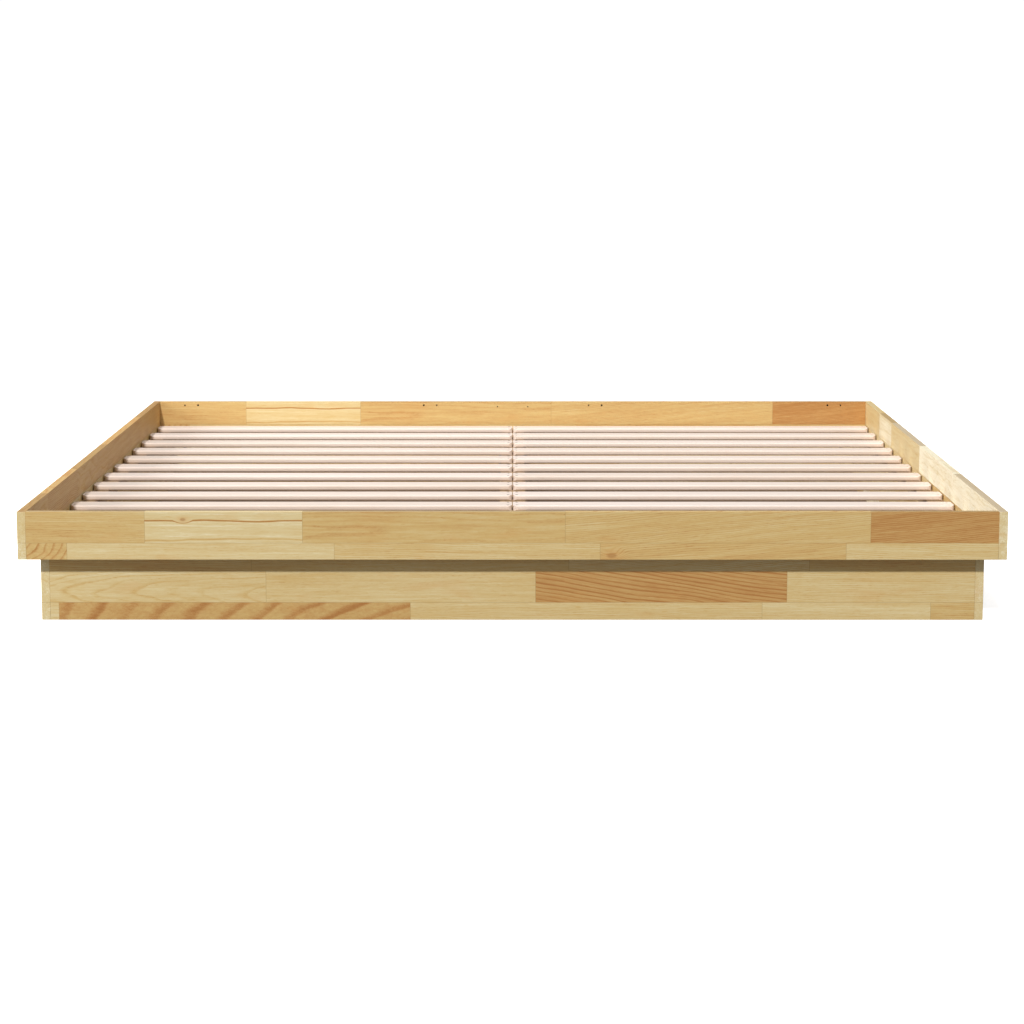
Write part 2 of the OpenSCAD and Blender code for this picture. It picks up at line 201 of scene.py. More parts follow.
def ease(tree, value, start, end, low=0.0, high=1.0):
    """A smooth step from low to high as the value goes from start to end."""
    node = tree.nodes.new("ShaderNodeMapRange")
    node.interpolation_type = "SMOOTHSTEP"
    for name, number in (("Value", value), ("From Min", start), ("From Max", end)):
        plug(tree, node.inputs[name], number)
    node.inputs["To Min"].default_value = low
    node.inputs["To Max"].default_value = high
    return node.outputs["Result"]


def blend(tree, amount, a, b, mode="MIX"):
    node = tree.nodes.new("ShaderNodeMix")
    node.data_type = "RGBA"
    node.blend_type = mode
    plug(tree, node.inputs[0], amount)
    plug(tree, node.inputs[6], a)
    plug(tree, node.inputs[7], b)
    return node.outputs[2]


def ramp(tree, value, stops):
    """A row of colours to slide along. Each stop is its place from 0 to 1 and its colour."""
    node = tree.nodes.new("ShaderNodeValToRGB")
    plug(tree, node.inputs[0], value)
    elements = node.color_ramp.elements
    while len(elements) < len(stops):
        elements.new(0.5)
    for element, (place, colour) in zip(elements, stops):
        element.position = place
        element.color = colour
    return node.outputs[0]


def read(tree, name, kind="GEOMETRY"):
    node = tree.nodes.new("ShaderNodeAttribute")
    node.attribute_name = name
    node.attribute_type = kind
    return node.outputs["Fac"] if kind == "OBJECT" else node.outputs["Vector"]


def place(tree):
    """Where the surface is, in metres in the bed's own frame."""
    return tree.nodes.new("ShaderNodeTexCoord").outputs["Object"]


def bumps(tree, height, depth, strength=1.0):
    node = tree.nodes.new("ShaderNodeBump")
    node.inputs["Strength"].default_value = strength
    node.inputs["Distance"].default_value = depth
    plug(tree, node.inputs["Height"], height)
    return node.outputs[0]


def tint(red, green, blue):
    """A colour as it looks on a screen, from 0 to 255, as the light values that nodes use."""
    def light(value):
        value /= 255
        return value / 12.92 if value <= 0.04045 else ((value + 0.055) / 1.055) ** 2.4
    return (light(red), light(green), light(blue), 1.0)


def new_finish(name):
    """An empty material, with its node tree and its shader."""
    material = bpy.data.materials.new(name)
    material.use_nodes = True
    return material, material.node_tree, material.node_tree.nodes["Principled BSDF"]


# %% [markdown]
# ## Oiled oak
# Each board is glued up from staves, and each stave is a length of one tree. Its grain is the
# year rings of that tree cut by the board's faces: far from the middle of the tree they are
# straight lines, and near it they are arches. So the finish works out rings round a pith line
# that each stave carries with it, and the same rings then show on its face and its edge.
# Over the rings lie the fibres, the open pores of the early wood, and knots.

# %% Mix the oak finish
DARK_OAK = tint(170, 116, 60)
BROWN_OAK = tint(188, 143, 84)
MID_OAK = tint(203, 172, 111)
LIGHT_OAK = tint(215, 196, 148)
PALE_OAK = tint(240, 231, 204)
KNOT_BROWN = tint(158, 106, 54)
GLUE_LINE = tint(150, 115, 66)
# Painted shade for the walls of drilled holes
BORE_PAINTED_SHADE = tint(84, 54, 28)
FLAME_ORANGE = tint(204, 150, 84)


def mix_oak():
    material, tree, shader = new_finish("oiled_oak_staves")
    grain = read(tree, "grain")
    along, across, deep = split(tree, grain)
    tone, ring_count, ring_strength = split(tree, read(tree, "stave"))
    low_x, low_y, line_share = split(tree, read(tree, "edge_low"))
    knot_x, knot_y, knot_size = split(tree, read(tree, "knot"))

    # How near the middle of a knot this point is: the rings bend round it
    knot_far = vector_calc(tree, "LENGTH", join(tree, calc(tree, "MULTIPLY", knot_x, 0.55), knot_y, 0.0))
    knot_share = calc(tree, "DIVIDE", knot_far, calc(tree, "MAXIMUM", knot_size, 0.0001))
    knot_pull = ease(tree, knot_share, 3.2, 0.2)
    knot_core = ease(tree, knot_share, 1.1, 0.45)

    # Year rings round the pith, with slow and quick waves along the stave
    slow_wave = calc(tree, "SUBTRACT", cloud(tree, grain, (4.0, 14, 14), 2.0), 0.5)
    quick_wave = calc(tree, "SUBTRACT", cloud(tree, grain, (14, 60, 60), 2.0), 0.5)
    radius = vector_calc(tree, "LENGTH", join(tree, 0.0, across, deep))
    radius = calc(tree, "MULTIPLY_ADD", slow_wave, 0.02, radius)
    radius = calc(tree, "MULTIPLY_ADD", quick_wave, 0.0022, radius)
    radius = calc(tree, "MULTIPLY_ADD", knot_pull, 0.012, radius)
    ring = calc(tree, "MULTIPLY", radius, ring_count)
    ring_part = calc(tree, "FRACT", ring)
    ring_own = tree.nodes.new("ShaderNodeTexWhiteNoise")
    ring_own.noise_dimensions = "1D"
    plug(tree, ring_own.inputs["W"], calc(tree, "FLOOR", ring))
    early = calc(tree, "MULTIPLY", ease(tree, ring_part, 0.0, calc(tree, "MULTIPLY", line_share, 0.3)),
                 ease(tree, calc(tree, "DIVIDE", ring_part, line_share), 1.0, 0.3))
    early = calc(tree, "MULTIPLY", early, calc(tree, "MULTIPLY_ADD", ring_own.outputs["Value"], 0.7, 0.3))

    # Fibres, pores and the short brown dashes of the rays
    fibres = calc(tree, "SUBTRACT", cloud(tree, grain, (10, 260, 260), 3.0, 0.62), 0.5)
    streaks = calc(tree, "SUBTRACT", cloud(tree, grain, (3.0, 85, 85), 2.0), 0.5)
    patches = calc(tree, "SUBTRACT", cloud(tree, grain, (2.4, 12, 12), 2.0), 0.5)
    pores = ease(tree, cloud(tree, grain, (110, 1500, 1500), 1.0), 0.57, 0.68)
    pores = calc(tree, "MULTIPLY", pores, calc(tree, "MULTIPLY_ADD", early, 0.8, 0.2))
    dashes = calc(tree, "SUBTRACT", cloud(tree, grain, (34, 400, 400), 2.0), 0.5)
    dark_dashes = ease(tree, dashes, 0.1, 0.24)
    flames = ease(tree, cloud(tree, grain, (9, 26, 26), 2.0, 0.5, 0.6), 0.55, 0.78)

    shade = calc(tree, "MULTIPLY_ADD", fibres, 0.4, tone)
    shade = calc(tree, "MULTIPLY_ADD", streaks, 0.3, shade)
    shade = calc(tree, "MULTIPLY_ADD", dashes, 0.3, shade)
    shade = calc(tree, "MULTIPLY_ADD", patches, 0.16, shade)
    shade = calc(tree, "MULTIPLY_ADD", calc(tree, "MULTIPLY", early, ring_strength), -0.42, shade)
    shade = calc(tree, "MULTIPLY_ADD", dark_dashes, -0.2, shade)
    shade = calc(tree, "MULTIPLY_ADD", pores, -0.3, shade)
    colour = ramp(tree, shade, [
        (0.0, DARK_OAK), (0.22, BROWN_OAK), (0.5, MID_OAK), (0.78, LIGHT_OAK), (1.0, PALE_OAK),
    ])
    colour = blend(tree, calc(tree, "MULTIPLY", flames, 0.22), colour, FLAME_ORANGE)
    colour = blend(tree, calc(tree, "MULTIPLY", knot_pull, 0.35), colour, FLAME_ORANGE)
    colour = blend(tree, calc(tree, "MULTIPLY", knot_core, 0.55), colour, KNOT_BROWN)

    # The glue line between two staves
    high_x, high_y, bored = split(tree, read(tree, "edge_high"))
    nearest_end = calc(tree, "MINIMUM", low_x, high_x)
    nearest = calc(tree, "MINIMUM", nearest_end, calc(tree, "MINIMUM", low_y, high_y))
    seam = ease(tree, nearest, 0.0007, 0.0001)
    colour = blend(tree, calc(tree, "MULTIPLY", seam, 0.55), colour, GLUE_LINE)

    # Painted shade: the wall of a drilled hole is drawn dark brown, as the shade inside it makes it look
    colour = blend(tree, calc(tree, "MULTIPLY", bored, 0.85), colour, BORE_PAINTED_SHADE)

    plug(tree, shader.inputs["Base Color"], colour)
    rough = calc(tree, "MULTIPLY_ADD", pores, 0.2, 0.46)
    plug(tree, shader.inputs["Roughness"], calc(tree, "MULTIPLY_ADD", early, 0.08, rough))
    height = calc(tree, "MULTIPLY_ADD", pores, -1.0, calc(tree, "MULTIPLY", fibres, 0.25))
    height = calc(tree, "MULTIPLY_ADD", seam, -0.6, height)
    height = calc(tree, "MULTIPLY_ADD", early, -0.25, height)
    plug(tree, shader.inputs["Normal"], bumps(tree, height, 0.00012, 0.6))
    shader.inputs["Specular IOR Level"].default_value = 0.4
    return material


oiled_oak = mix_oak()
print("oak finish has", len(oiled_oak.node_tree.nodes), "nodes")

# %% [markdown]
# ## Staves
# A maker sorts staves by tone and lays them in rows with the joints staggered. The rows that the
# eye meets first are listed here one by one, from the top edge down and from left to right. The
# other boards take theirs from a seeded shuffle, which gives the same boards each time.

# %% Lay out the staves
# Tones from dark to pale, as a place on the oak's row of colours
TONES = {"dark": 0.27, "brown": 0.36, "mid": 0.54, "fair": 0.68, "light": 0.74, "pale": 0.98}

# A figure is how a stave was cut from its tree: how far the pith lies below and behind the
# middle of the stave (mm), how the pith line rises and draws back along the stave (mm in a
# metre), the number of rings in a metre, how strongly they show, and the share of each ring
# that its dark line takes
FIGURES = {
    "straight": (320, 60, -15, 0, 260, 0.5, 0.55),
    "fine": (400, 120, 6, 0, 380, 0.35, 0.5),
    "rising": (300, 40, 95, 0, 260, 0.6, 0.5),
    "falling": (400, 40, -155, 0, 125, 1.1, 0.5),
    "wavy": (60, 30, 0, 0, 26, 2.2, 0.13),
    "arches": (15, 62, 0, -52, 250, 0.38, 0.45),
    "chevrons": (110, 230, 0, -420, 36, 0.9, 0.6),
    "strokes": (-20, 60, 0, 450, 130, 0.8, 0.5),
    "flame": (6, 34, 8, 30, 140, 0.3, 0.6),
    "plain": (30, 260, 4, 3, 300, 0.12, 0.5),
}

# Rows of staves: the height of the row, then the length, tone and figure of each stave (mm)
UPPER_FRONT_ROWS = [
    (65, [(245, "mid", "straight"), (325, "light", "wavy"), (541, "mid", "flame"),
          (629, "mid", "rising"), (264, "dark", "rising")]),
    (35, [(84, "mid", "strokes"), (551, "fair", "fine"), (548, "fair", "straight"),
          (507, "mid", "rising"), (314, "fair", "straight")]),
]
PLINTH_FRONT_ROWS = [
    (31, [(420, "mid", "straight"), (660, "mid", "fine"), (500, "fair", "rising"),
          (345, "mid", "straight")]),
    (66, [(450, "fair", "arches"), (561, "fair", "fine"), (523, "dark", "falling"),
          (391, "fair", "straight")]),
    (37, [(18, "fair", "fine"), (732, "brown", "chevrons"), (733, "fair", "straight"),
          (351, "fair", "fine"), (91, "mid", "straight")]),
]
# The side boards are laid from the foot of the bed
# The left rail's top row is all brown: painted shade, for the shade its inner face lies in
LEFT_RAIL_ROWS = [
    (65, [(260, "brown", "plain"), (376, "brown", "straight"), (444, "brown", "plain"),
          (572, "brown", "fine"), (388, "brown", "straight")]),
    (35, [(510, "mid", "plain"), (480, "light", "fine"), (620, "fair", "straight"), (430, "mid", "plain")]),
]
# The right rail's top row has pale staves: partly lighter wood and partly painted light, for the light on its
# inner face
RIGHT_RAIL_ROWS = [
    (65, [(560, "pale", "plain"), (490, "pale", "plain"), (471, "fair", "plain"),
          (221, "pale", "straight"), (298, "fair", "plain")]),
    (35, [(330, "light", "plain"), (560, "mid", "fine"), (600, "fair", "straight"), (550, "light", "plain")]),
]


# What the shuffle draws from (mm): a tone or figure that is named twice comes up twice as often
FIRST_LENGTH = (120, 420)
STAVE_LENGTH = (380, 640)
SHORTEST_STAVE = 90
SHUFFLED_TONES = ["brown", "mid", "mid", "fair", "light", "light", "pale"]
SHUFFLED_FIGURES = ["straight", "straight", "fine", "rising", "wavy", "arches", "flame"]


def shuffled_rows(length, seed):
    """Rows of staves for a plinth board of a length in millimetres."""
    draw = random.Random(seed)
    rows = []
    for row_height, _ in PLINTH_FRONT_ROWS:
        staves, left = [], length
        first = draw.uniform(*FIRST_LENGTH)
        while left > 0:
            piece = first if not staves else draw.uniform(*STAVE_LENGTH)
            piece = left if left - piece < SHORTEST_STAVE else piece
            staves.append((piece, draw.choice(SHUFFLED_TONES), draw.choice(SHUFFLED_FIGURES)))
            left -= piece
        rows.append((row_height, staves))
    return rows


print("the front shows", sum(len(row) for _, row in UPPER_FRONT_ROWS + PLINTH_FRONT_ROWS), "staves")

# %% [markdown]
# ## Building a board
# The board's solid already has its bores. The working copy gets a small arris on its outer edges,
# as sandpaper leaves it. Then it is cut along the lines between its staves. The cuts leave the
# shape as it is, but each stave now has faces of its own, which can carry the stave's data: its
# place in its tree, its tone and rings, its distance to the next glue line, and its knot. Walls of
# drilled holes are marked too, so that the finish can paint the shade inside them dark.

# %% Define the board builder
ARRIS = 0.6 * MM
WELD = 0.004 * MM
TOUCH = 0.02 * MM
# Faces that meet at less than this are one face of the board
FLAT_ANGLE = radians(0.3)
# A face whose normal is this near an axis is flat, and one nearer than FACES_THAT_WAY looks along it
FLAT = 0.999
FACES_THAT_WAY = 0.7
# How much a stave's tone may differ from its name, how far its grain is shifted (m), and by what
# share its rings are wider or narrower
TONE_SPREAD = (-0.03, 0.03)
GRAIN_SHIFT = (0, 40)
RING_SPREAD = (0.92, 1.08)
STAVE_DATA = ("grain", "stave", "edge_low", "edge_high", "knot")
# The ends of the boards are nearer to one even, fairly light tone
END_GRAIN_TONE = 0.78
END_GRAIN_PULL = 0.9
# A distance that keeps glue lines and knots off a face, and the size of a knot that isn't there
FAR = 1.0
NO_KNOT = 0.001


def slice_faces(bm, axis, at, chosen):
    """Cuts the chosen faces where they cross a plane."""
    faces = [face for face in bm.faces if chosen(face)]
    # A dict keeps its order, where a set doesn't, so the cut comes out the same in every run
    edges = dict.fromkeys(edge for face in faces for edge in face.edges)
    verts = dict.fromkeys(vert for face in faces for vert in face.verts)
    normal = Vector((0, 0, 0))
    normal[axis] = 1
    bmesh.ops.bisect_plane(
        bm, geom=[*faces, *edges, *verts], dist=WELD / 4, plane_co=normal * at, plane_no=normal,
    )


def arris_edges(bm, low, high):
    """The twelve outer edges of a board: those that lie on two of its outer planes."""
    def on_plane(edge, axis):
        return any(
            all(abs(vert.co[axis] - limit[axis]) < TOUCH for vert in edge.verts) for limit in (low, high)
        )
    return [edge for edge in bm.edges if sum(on_plane(edge, axis) for axis in range(3)) == 2]


def stave_list(rows, along, low, high, seed):
    """Each stave as its box in the board and its data."""
    draw = random.Random(seed)
    staves, top = [], high.z
    for number, (row_height, row) in enumerate(rows):
        bottom = low.z if number == len(rows) - 1 else top - row_height * MM
        start = low[along]
        for place_in_row, (length, tone, figure) in enumerate(row):
            end = high[along] if place_in_row == len(row) - 1 else start + length * MM
            staves.append({
                "start": start, "end": end, "bottom": bottom, "top": top,
                "tone": TONES[tone] + draw.uniform(*TONE_SPREAD),
                "figure": FIGURES[figure],
                "shift": draw.uniform(*GRAIN_SHIFT),
                "ring_factor": draw.uniform(*RING_SPREAD),
            })
            start = end
        top = bottom
    return staves


def cut_board(name, node, along, staves):
    """A copy of a board's solid with an arris on its edges, cut between its staves."""
    low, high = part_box(node)
    bm = bmesh.new()
    bm.from_mesh(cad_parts[node].data)
    bmesh.ops.remove_doubles(bm, verts=bm.verts, dist=WELD)
    bmesh.ops.dissolve_limit(bm, angle_limit=FLAT_ANGLE, verts=bm.verts, edges=bm.edges)
    bmesh.ops.bevel(
        bm, geom=arris_edges(bm, low, high), offset=ARRIS, segments=2, profile=0.5, affect="EDGES",
    )
    for height in sorted({stave["bottom"] for stave in staves})[1:]:
        slice_faces(bm, 2, height, lambda face: True)
    for stave in staves:
        if stave["start"] > low[along]:
            slice_faces(
                bm, along, stave["start"],
                lambda face: stave["bottom"] < face.calc_center_median().z < stave["top"],
            )
    bmesh.ops.recalc_face_normals(bm, faces=bm.faces)
    mesh = bpy.data.meshes.new(name)
    bm.to_mesh(mesh)
    bm.free()
    return mesh


def stave_at(staves, along, point):
    """The stave that a point lies in, or lies nearest to."""
    return min(staves, key=lambda stave: max(
        stave["start"] - point[along], point[along] - stave["end"],
        stave["bottom"] - point.z, point.z - stave["top"],
    ))


def knot_in(knots, stave):
    """The knot whose middle lies in a stave, if there is one."""
    for knot in knots:
        if stave["start"] < knot[0] < stave["end"] and stave["bottom"] < knot[1] < stave["top"]:
            return knot
    return None


def build_board(name, node, along, rows, seed, knots=(), tone_shift=0.0):
    """A board as a new piece, cut into staves. Each knot is its place along and up, and its size."""
    through = 1 - along
    low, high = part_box(node)
    staves = stave_list(rows, along, low, high, seed)
    mesh = cut_board(name, node, along, staves)
    for key in STAVE_DATA:
        mesh.attributes.new(key, "FLOAT_VECTOR", "CORNER")
    data = {key: mesh.attributes[key].data for key in STAVE_DATA}
    middle = (low[through] + high[through]) / 2
    for face in mesh.polygons:
        centre = face.center
        face.use_smooth = max(abs(part) for part in face.normal) < FLAT
        stave = stave_at(staves, along, centre)
        pith_below, pith_behind, rise, drawing_back, rings, strength, line_share = stave["figure"]
        tone = stave["tone"] + tone_shift
        is_end = abs(face.normal[along]) > FACES_THAT_WAY
        is_level = abs(face.normal.z) > FACES_THAT_WAY
        # Walls of drilled holes, which the finish darkens as painted shade
        bored = all(low[axis] + ARRIS * 2 < centre[axis] < high[axis] - ARRIS * 2 for axis in range(3))
        if is_end:
            tone += (END_GRAIN_TONE - tone) * END_GRAIN_PULL
            strength *= 1 - END_GRAIN_PULL
        mid_along = (stave["start"] + stave["end"]) / 2
        mid_up = (stave["bottom"] + stave["top"]) / 2
        knot = knot_in(knots, stave)
        for corner in face.loop_indices:
            point = mesh.vertices[mesh.loops[corner].vertex_index].co
            on, up = point[along] - mid_along, point.z - mid_up
            data["grain"][corner].vector = (
                point[along] + stave["shift"],
                up + pith_below * MM - rise * MM * on,
                point[through] - middle + (pith_behind + drawing_back * on) * MM,
            )
            data["stave"][corner].vector = (tone, rings * stave["ring_factor"], strength)
            data["edge_low"][corner].vector = (
                FAR if is_end else point[along] - stave["start"],
                FAR if is_level else point.z - stave["bottom"],
                line_share,
            )
            data["edge_high"][corner].vector = (
                FAR if is_end else stave["end"] - point[along],
                FAR if is_level else stave["top"] - point.z,
                1 if bored else 0,
            )
            if knot:
                data["knot"][corner].vector = (point[along] - knot[0], point.z - knot[1], knot[2])
            else:
                data["knot"][corner].vector = (FAR, FAR, NO_KNOT)
    mesh.materials.append(oiled_oak)
    piece = bpy.data.objects.new(name, mesh)
    scene.collection.objects.link(piece)
    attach(piece, "root")
    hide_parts(node)
    print(name, "has", len(staves), "staves and", len(mesh.polygons), "faces")


# %% [markdown]
# ## The upper frame
# The foot board shows its outer face and the head board its inner face, and both were sawn from
# one long panel, so their staves match. The side rails run the whole length of the bed and cover
# the ends of the other two.

# %% Build the upper frame
ALONG_X, ALONG_Y = 0, 1
build_board("foot_board_oak", "foot_board", ALONG_X, UPPER_FRONT_ROWS, 11,
            knots=[(0.205, 0.143, 0.007), (-0.678, 0.218, 0.004)])
# The head board's staves are drawn darker than the foot board's: painted shade
build_board("head_board_oak", "head_board", ALONG_X, UPPER_FRONT_ROWS, 11, tone_shift=-0.08)
build_board("left_side_rail_oak", "left_side_rail", ALONG_Y, LEFT_RAIL_ROWS, 22)
build_board("right_side_rail_oak", "right_side_rail", ALONG_Y, RIGHT_RAIL_ROWS, 34)

# %% [markdown]
# ## The plinth
# The plinth stands back under the frame on all four sides, so most of it lies in the shade. Its
# boards are the same oak.

# %% Build the plinth
build_board("plinth_front_oak", "plinth_front", ALONG_X, PLINTH_FRONT_ROWS, 41)
for node, along, row_seed, stave_seed in (
    ("plinth_back", ALONG_X, 51, 52), ("plinth_left", ALONG_Y, 61, 62), ("plinth_right", ALONG_Y, 71, 72),
):
    board_low, board_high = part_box(node)
    board_length = round((board_high - board_low)[along] / MM)
    build_board(node + "_oak", node, along, shuffled_rows(board_length, row_seed), stave_seed)

# %% [markdown]
# ## Pine under the bed
# The ledgers, the batten and the centre board are planed pine. Their browns are darker than bare pine:
# painted shade, so that they read dark in the gaps under the pale slats. Pine has wider rings than oak, and
# small round knots.

# %% Mix the pine finish
# Browns darker than bare pine, as painted shade
PINE_SAP = tint(166, 138, 104)
PINE_RING = tint(134, 102, 70)
PINE_KNOT = tint(92, 62, 40)


def mix_pine(name, along):
    material, tree, shader = new_finish(name)
    here = place(tree)
    if along == ALONG_Y:
        x, y, z = split(tree, here)
        here = join(tree, y, x, z)
    along_it, across, up = split(tree, here)
    wave = calc(tree, "SUBTRACT", cloud(tree, here, (1.6, 10, 10), 2.0), 0.5)
    pith = join(tree, 0.0, across, calc(tree, "SUBTRACT", up, 0.09))
    radius = calc(tree, "MULTIPLY_ADD", wave, 0.03, vector_calc(tree, "LENGTH", pith))
    ring_part = calc(tree, "FRACT", calc(tree, "MULTIPLY", radius, 230))
    late = calc(tree, "MULTIPLY", ease(tree, ring_part, 0.35, 0.85), ease(tree, ring_part, 1.0, 0.93))
    fibres = calc(tree, "SUBTRACT", cloud(tree, here, (8, 260, 260), 3.0, 0.6), 0.5)
    spots = tree.nodes.new("ShaderNodeTexVoronoi")
    plug(tree, spots.inputs["Vector"], vector_calc(tree, "MULTIPLY", here, (3.1, 9.0, 9.0)))
    spots.inputs["Scale"].default_value = 1.0
    knots = ease(tree, spots.outputs["Distance"], 0.11, 0.05)
    amount = calc(tree, "MULTIPLY_ADD", fibres, 0.5, calc(tree, "MULTIPLY", late, 0.6), clamp=True)
    colour = blend(tree, amount, PINE_SAP, PINE_RING)
    colour = blend(tree, calc(tree, "MULTIPLY", knots, 0.8), colour, PINE_KNOT)
    plug(tree, shader.inputs["Base Color"], colour)
    plug(tree, shader.inputs["Roughness"], calc(tree, "MULTIPLY_ADD", late, -0.1, 0.62))
    height = calc(tree, "MULTIPLY_ADD", late, 0.5, fibres)
    plug(tree, shader.inputs["Normal"], bumps(tree, height, 0.0001, 0.5))
    shader.inputs["Specular IOR Level"].default_value = 0.35
    return material


def refinish(node, material):
    """Gives a solid that keeps its shape its new finish."""
    for material_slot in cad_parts[node].material_slots:
        material_slot.material = material


pine_lengthways = mix_pine("planed_pine_lengthways", ALONG_Y)
pine_crossways = mix_pine("planed_pine_crossways", ALONG_X)
for node in ("left_ledger", "right_ledger", "centre_batten", "plinth_centre_board"):
    refinish(node, pine_lengthways)
for node in ("foot_ledger_left", "foot_ledger_right", "head_ledger_left", "head_ledger_right"):
    refinish(node, pine_crossways)

# %% [markdown]
# ## Birch slats
# The slats are glued up from thin layers of birch and left bare, so they are the palest wood on
# the bed. The layers show along the rounded edges. Each slat has a tone of its own.

# %% Mix the birch finish and give it to the slats
BIRCH = tint(229, 214, 204)
BIRCH_STREAK = tint(208, 188, 168)
BIRCH_LAYER = tint(196, 170, 144)
PLY = 1.5 * MM
SLAT_TONES = (0.0, 0.6)


def mix_birch():
    material, tree, shader = new_finish("bare_birch_layers")
    here = place(tree)
    x, y, z = split(tree, here)
    own = read(tree, "slat_tone", "OBJECT")
    shifted = join(tree, calc(tree, "MULTIPLY_ADD", own, 7.0, x), y, z)
    fibres = calc(tree, "SUBTRACT", cloud(tree, shifted, (7, 240, 60), 3.0, 0.6), 0.5)
    bands = calc(tree, "SUBTRACT", cloud(tree, shifted, (1.5, 40, 20), 2.0), 0.5)
    flecks = ease(tree, cloud(tree, shifted, (60, 900, 900), 1.0), 0.62, 0.72)
    ply = calc(tree, "DIVIDE", calc(tree, "SUBTRACT", z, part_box("left_slat_01")[0].z), PLY)
    odd = calc(tree, "GREATER_THAN", calc(tree, "PINGPONG", ply, 1.0), 0.5)
    facing = split(tree, tree.nodes.new("ShaderNodeNewGeometry").outputs["True Normal"])[2]
    edge = ease(tree, calc(tree, "ABSOLUTE", facing), 0.8, 0.4)
    streak = calc(tree, "MULTIPLY_ADD", fibres, 0.8, calc(tree, "MULTIPLY", bands, 0.7))
    streak = calc(tree, "MULTIPLY_ADD", own, 0.5, streak, clamp=True)
    colour = blend(tree, streak, BIRCH, BIRCH_STREAK)
    colour = blend(tree, calc(tree, "MULTIPLY", flecks, 0.25), colour, BIRCH_LAYER)
    layers = calc(tree, "MULTIPLY", odd, edge)
    colour = blend(tree, calc(tree, "MULTIPLY", layers, 0.45), colour, BIRCH_LAYER)
    plug(tree, shader.inputs["Base Color"], colour)
    plug(tree, shader.inputs["Roughness"], calc(tree, "MULTIPLY_ADD", fibres, 0.2, 0.5))
    height = calc(tree, "MULTIPLY_ADD", flecks, -0.5, fibres)
    plug(tree, shader.inputs["Normal"], bumps(tree, height, 0.0001, 0.4))
    shader.inputs["Specular IOR Level"].default_value = 0.4
    return material


bare_birch = mix_birch()
slat_nodes = sorted(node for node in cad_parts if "_slat_" in node and "screws" not in node)
slat_draw = random.Random(5)
for node in slat_nodes:
    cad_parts[node]["slat_tone"] = slat_draw.uniform(*SLAT_TONES)
    refinish(node, bare_birch)
print(len(slat_nodes), "slats in birch")

# %% [markdown]
# ## Wood screws
# Every screw has a cross recess in its head and a thread on its shank. One screw of each kind is
# modelled once: its outline is turned round its axis, and the recess is sunk into the head. Then
# it is copied to each place where the bed's solids have a screw, turned by a different angle, as
# screws are when they have been driven home.

# %% Model the screws
TURN_STEPS = 16
THREAD_PITCH = 1.9 * MM
# The thread's root and the tip, as shares of the shank's radius
THREAD_ROOT = 0.72
TIP_SHARE = 0.08
# The cross recess at its mouth and at its floor, as shares of the flat top's radius: how far each
# arm reaches and how wide it is on each side. Then the depth of the recess.
MOUTH_SHARES = (0.56, 0.13)
FLOOR_SHARES = (0.26, 0.09)
RECESS_DEPTH = 0.5


def turned(bm, outline):
    """Turns an outline of (radius, height) points round the Z axis. Its ends stay open."""
    rings = [
        [bm.verts.new((r * cos(2 * pi * k / TURN_STEPS), r * sin(2 * pi * k / TURN_STEPS), z))
         for k in range(TURN_STEPS)]
        for r, z in outline
    ]
    for upper, lower in zip(rings, rings[1:]):
        for k in range(TURN_STEPS):
            after = (k + 1) % TURN_STEPS
            bm.faces.new((upper[k], lower[k], lower[after], upper[after])).smooth = True
    return rings


def cross_outline(flat_r, shares):
    """The corners of a cross in a screw's head, in order round it."""
    long, wide = (flat_r * share for share in shares)
    quarter = [(long, -wide), (long, wide), (wide, wide)]
    corners = []
    for _ in range(4):
        corners += quarter
        quarter = [(-y, x) for x, y in quarter]
    return corners


def model_screw(head, shank_r, length):
    """A screw that points along -Z. head is its outline from the rim of its flat top down."""
    bm = bmesh.new()
    thread, z = [], head[-1][1] - THREAD_PITCH
    while z > -length + 3 * THREAD_PITCH:
        thread += [(shank_r * THREAD_ROOT, z), (shank_r, z - THREAD_PITCH / 2)]
        z -= THREAD_PITCH
    tip = [(shank_r * THREAD_ROOT, z), (shank_r * TIP_SHARE, -length)]
    rings = turned(bm, [*head, *thread, *tip])
    bm.faces.new(rings[-1])

    flat_r, flat_z = head[0]
    mouth = [bm.verts.new((x, y, flat_z)) for x, y in cross_outline(flat_r, MOUTH_SHARES)]
    floor_z = flat_z - flat_r * RECESS_DEPTH
    bottom = [bm.verts.new((x, y, floor_z)) for x, y in cross_outline(flat_r, FLOOR_SHARES)]
    mouth_edges = [bm.edges.new((a, b)) for a, b in zip(mouth, mouth[1:] + mouth[:1])]
    rim_edges = [bm.edges.get((a, b)) for a, b in zip(rings[0], rings[0][1:] + rings[0][:1])]
    bmesh.ops.triangle_fill(bm, use_beauty=True, edges=mouth_edges + rim_edges)
    for k, corner in enumerate(mouth):
        after = (k + 1) % len(mouth)
        bm.faces.new((corner, mouth[after], bottom[after], bottom[k]))
    bm.faces.new(bottom)
    bmesh.ops.recalc_face_normals(bm, faces=bm.faces)
    mesh = bpy.data.meshes.new("screw_pattern")
    bm.to_mesh(mesh)
    bm.free()
    return mesh


